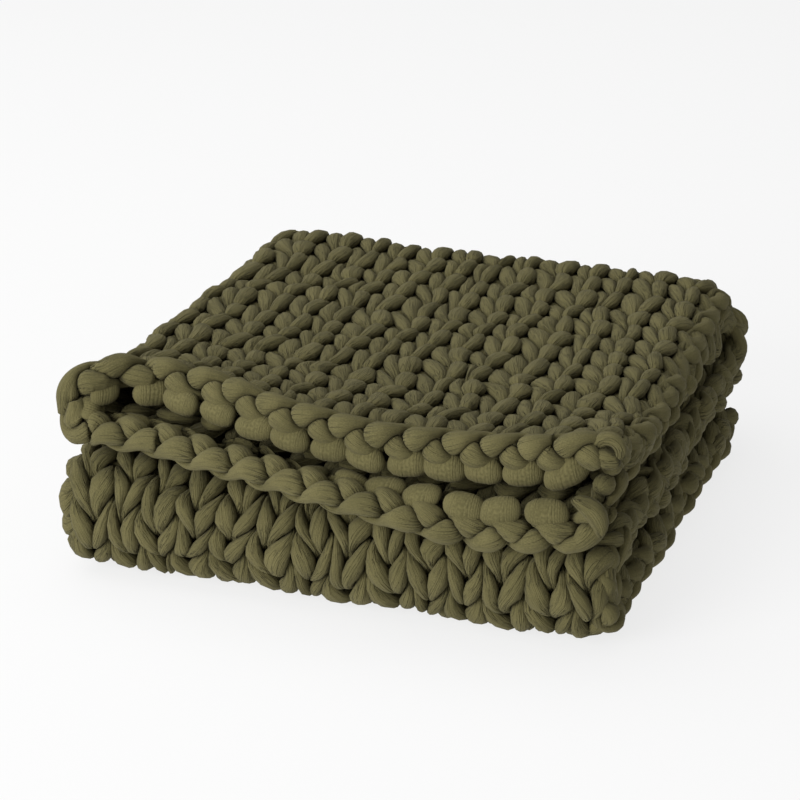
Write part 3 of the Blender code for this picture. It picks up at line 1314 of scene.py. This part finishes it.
@dataclass
class EdgeCord(YarnWork):
    """An edge of the cloth drawn into a lumpy plait that follows it through every fold."""

    cloth: FoldedCloth
    edge: CordEdge
    at: float
    first: float
    last: float
    lift: float = 0.002
    samples_per_link: int = 14
    wander: float = 0.0055
    wandering: Unevenness = Unevenness(53)
    half_height: float = 0.0075
    half_depth: float = 0.0055
    radius: float = 0.0122
    sides: int = 12

    def tubes(self) -> Iterator[Tube]:
        """The plait along the edge.

        Returns:
            The tubes of its three strands.
        """
        along_side = self.edge is CordEdge.SELVAGE
        link = self.cloth.course if along_side else self.cloth.wale
        plait = Plait(link, self.half_height, self.half_depth, self.radius, sides=self.sides)
        count = int((self.last - self.first) * self.samples_per_link)
        links = np.linspace(self.first, self.last, count)
        for number in range(STRANDS):
            flat = plait.surface(number, links)
            run = (flat[..., 0] / link).ravel()
            held = np.full_like(run, self.at)
            wale, course = (held, run) if along_side else (run, held)
            lift = self.lift + self.wander * self.wandering.at(wale, course)
            middle, out, up = self.cloth.edge_frame(wale, course, lift, self.edge)
            rings = middle + up * flat[..., 1].reshape(-1, 1) + out * flat[..., 2].reshape(-1, 1)
            rings[:, 2] = np.maximum(rings[:, 2], self.cloth.floor_gap)
            yield rings.reshape(flat.shape), plait.creases(number, links)


@dataclass(frozen=True)
class SoftLight:
    """A square lamp that faces a point: its side in metres and its power in watts."""

    name: str
    place: Point
    size: float
    power: float
    aim: Point = (0.0, 0.0, 0.1)

    def hang(self) -> None:
        """Hang the lamp."""
        bpy.ops.object.light_add(type="AREA", location=self.place)
        light = bpy.context.object
        light.name = self.name
        light.data.size = self.size
        light.data.energy = self.power
        back = Vector(self.place) - Vector(self.aim)
        light.rotation_euler = back.to_track_quat("Z", "Y").to_euler()


@dataclass
class Studio:
    """A plain pale floor, soft light and the camera."""

    target: Point = (-0.0208, 0.0, 0.1213)
    azimuth: float = 19.58
    elevation: float = 22.45
    distance: float = 2.995
    field_of_view: float = 17.0
    clip_end: float = 100.0
    floor_size: float = 14.0
    paper_grey: float = 0.16
    paper_glow: float = 0.780
    key: SoftLight = SoftLight("key_light", (-2.1, -4.4, 1.7), size=3.4, power=305.0)
    top: SoftLight = SoftLight("top_light", (-1.3, 0.2, 2.9), size=3.8, power=74.0)
    ambience: float = 0.36

    def camera(self) -> None:
        """Stand the camera in front of the stack, a little to its right."""
        turn = math.radians(self.azimuth)
        rise = math.radians(self.elevation)
        level = math.cos(rise)
        back = Vector((math.sin(turn) * level, -math.cos(turn) * level, math.sin(rise)))
        bpy.ops.object.camera_add(location=Vector(self.target) + back * self.distance)
        camera = bpy.context.object
        camera.name = "studio_camera"
        camera.rotation_euler = back.to_track_quat("Z", "Y").to_euler()
        camera.data.angle = math.radians(self.field_of_view)
        camera.data.clip_end = self.clip_end
        bpy.context.scene.camera = camera

    def floor(self) -> None:
        """Lay the pale floor."""
        bpy.ops.object.select_all(action="DESELECT")
        bpy.ops.mesh.primitive_plane_add(size=self.floor_size, location=(0, 0, 0))
        floor = bpy.context.object
        floor.name = "studio_floor"
        grey = (self.paper_grey, self.paper_grey, self.paper_grey, 1)
        paper = {"Base Color": grey, "Roughness": 1.0, "Specular IOR Level": 0.0}
        paper |= {"Emission Color": (1, 1, 1, 1), "Emission Strength": self.paper_glow}
        floor.data.materials.append(NodeBench("studio_paper").dress(paper))
        floor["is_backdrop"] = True

    def surroundings(self) -> None:
        """Fill the room with even white light."""
        world = bpy.data.worlds.new("studio_white")
        bpy.context.scene.world = world
        world.use_nodes = True
        background = world.node_tree.nodes["Background"]
        background.inputs["Color"].default_value = (1, 1, 1, 1)
        background.inputs["Strength"].default_value = self.ambience
        bpy.context.scene.view_settings.view_transform = "Standard"

    def build(self) -> None:
        """Set up camera, floor, lights and surroundings."""
        self.camera()
        self.floor()
        self.key.hang()
        self.top.hang()
        self.surroundings()


def main() -> None:
    """Build the studio and every piece of the blanket."""
    logging.basicConfig(level=logging.INFO, format="%(message)s")
    Studio().build()
    cloth = FoldedCloth()
    jersey = JerseyFinish().material()
    slanted = YarnStitch(cloth, swing=1.75, slant=0.21, reach=7.6, depth=1.3, lean=0.6, tilt=0.25,
                         radius=0.0126, squeeze=Squeeze(hardness=7.0, least_share=0.15))
    for name, rows in (("top_front_rows", range(1, 8)), ("top_back_rows", range(8, 14)),
                       ("back_turn_rows", range(14, 18))):
        KnitRows(cloth, slanted, rows, flatten=0.78).build(name, jersey)
    upright = YarnStitch(cloth, swing=2.1, radius=0.0115, neck=0.24,
                         squeeze=Squeeze(hardness=5.5, least_share=0.25))
    for name, rows in (("middle_rows", range(18, 26)), ("front_turn_rows", range(26, 31)),
                       ("bottom_rows", range(31, 42))):
        KnitRows(cloth, upright, rows, wale_drift=0.15, course_drift=0.15).build(name, jersey)
    chain = BoundOffChain(cloth)
    chain.build("bound_off_chain", jersey)
    CordEnds(chain).build("cord_ends", jersey)
    side = CordEdge.SELVAGE
    EdgeCord(cloth, side, at=0.25, first=0.5, last=42.4).build("upper_selvage", jersey)
    EdgeCord(cloth, side, at=cloth.wales - 0.25, first=0.5, last=42.4).build("lower_selvage", jersey)
    cast_on = EdgeCord(cloth, CordEdge.ROW, at=41.9, first=0.5, last=28.5, lift=0.0, wander=0.001)
    cast_on.build("cast_on_cord", jersey)
    boxes = {"cad": SOLID_BOX, "visual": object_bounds()}
    {key: [list(corner) for corner in box] for key, box in boxes.items()}


if __name__ == "__main__":
    main()
